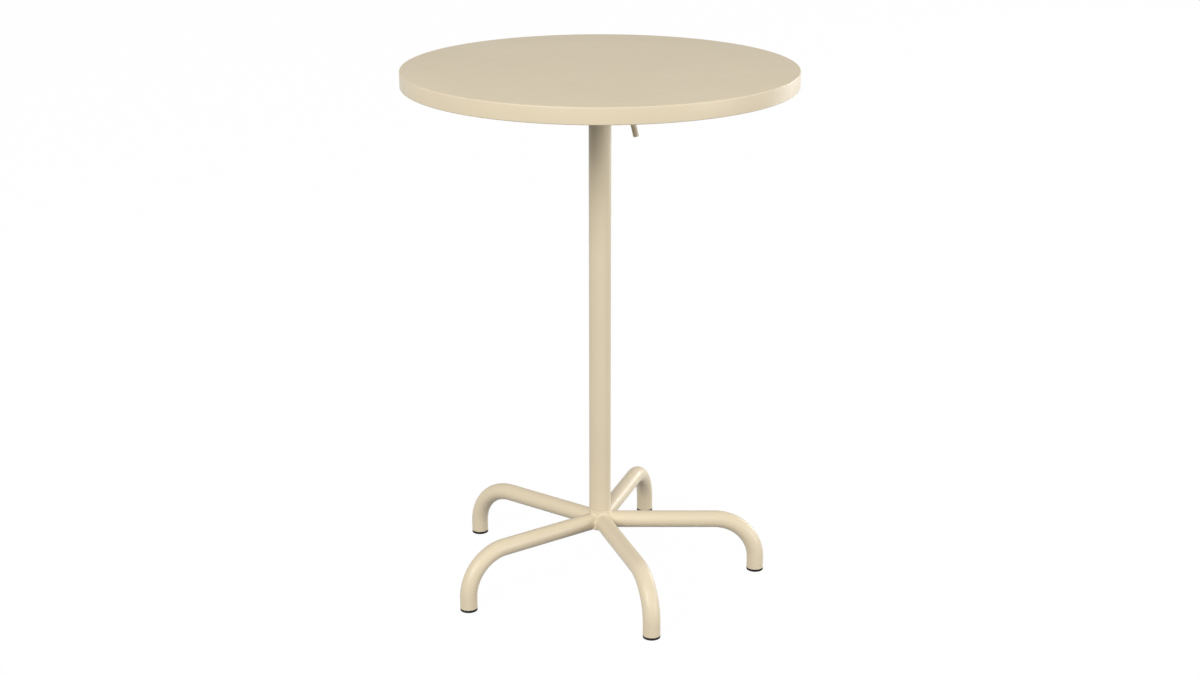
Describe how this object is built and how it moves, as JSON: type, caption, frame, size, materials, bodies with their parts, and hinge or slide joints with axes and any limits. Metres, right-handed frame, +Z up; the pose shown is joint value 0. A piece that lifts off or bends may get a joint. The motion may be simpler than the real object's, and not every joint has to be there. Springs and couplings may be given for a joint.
{
  "type": "folding bar table",
  "caption": "Round sheet-metal bar table on a column with curved tube legs; the top tilts upright on a latched hinge for storage.",
  "frame": {"origin": "on the floor, on the column's axis", "axes": "+Z up along the column, +X towards the latch lever, whose side of the top goes up when it tilts"},
  "size_m": [0.8, 0.8, 1.1],
  "materials": {
    "beige_coat": "satin powder coat",
    "glide_plastic": "matt moulded",
    "zinc_steel": "bright zinc plate",
    "spring_steel": "oiled spring wire",
    "bush_nylon": "natural nylon"
  },
  "bodies": {
    "base": {"column_tube": "beige_coat", "hub": "beige_coat", "leg_1": "beige_coat", "leg_2": "beige_coat", "leg_3": "beige_coat", "leg_4": "beige_coat", "leg_5": "beige_coat", "leg_welds": "beige_coat", "foot_glide_1": "glide_plastic", "foot_glide_2": "glide_plastic", "foot_glide_3": "glide_plastic", "foot_glide_4": "glide_plastic", "foot_glide_5": "glide_plastic", "fork_bracket": "beige_coat", "tilt_bushes": "bush_nylon", "stop_pin": "zinc_steel", "latch_pin": "zinc_steel", "latch_pin_clip": "spring_steel", "latch_spacers": "zinc_steel", "latch_spring": "spring_steel"},
    "top": {"tabletop_pan": "beige_coat", "cross_rail_left": "beige_coat", "cross_rail_right": "beige_coat", "end_rail_left": "beige_coat", "end_rail_right": "beige_coat", "saddle_bracket": "beige_coat", "saddle_screws": "zinc_steel", "rail_nuts": "zinc_steel", "striker_pin": "zinc_steel", "tilt_bolt": "zinc_steel", "tilt_nut": "zinc_steel", "tilt_washers": "zinc_steel"},
    "lever": {"hook_plate": "beige_coat", "lever_rod": "beige_coat"}
  },
  "joints": [
    {"name": "top_tilt", "type": "hinge", "parent": "base", "child": "top", "pos_m": [-0.042, 0, 1.05], "axis": [0, -1, 0], "range_deg": [0, 90]},
    {"name": "latch_lever", "type": "hinge", "parent": "base", "child": "lever", "pos_m": [0.059, 0, 1.02], "axis": [0, 1, 0], "range_deg": [-10, 8], "stiffness_Nm_per_rad": 0.2, "springref_deg": -34.38, "deforming": ["latch_spring"]}
  ]
}
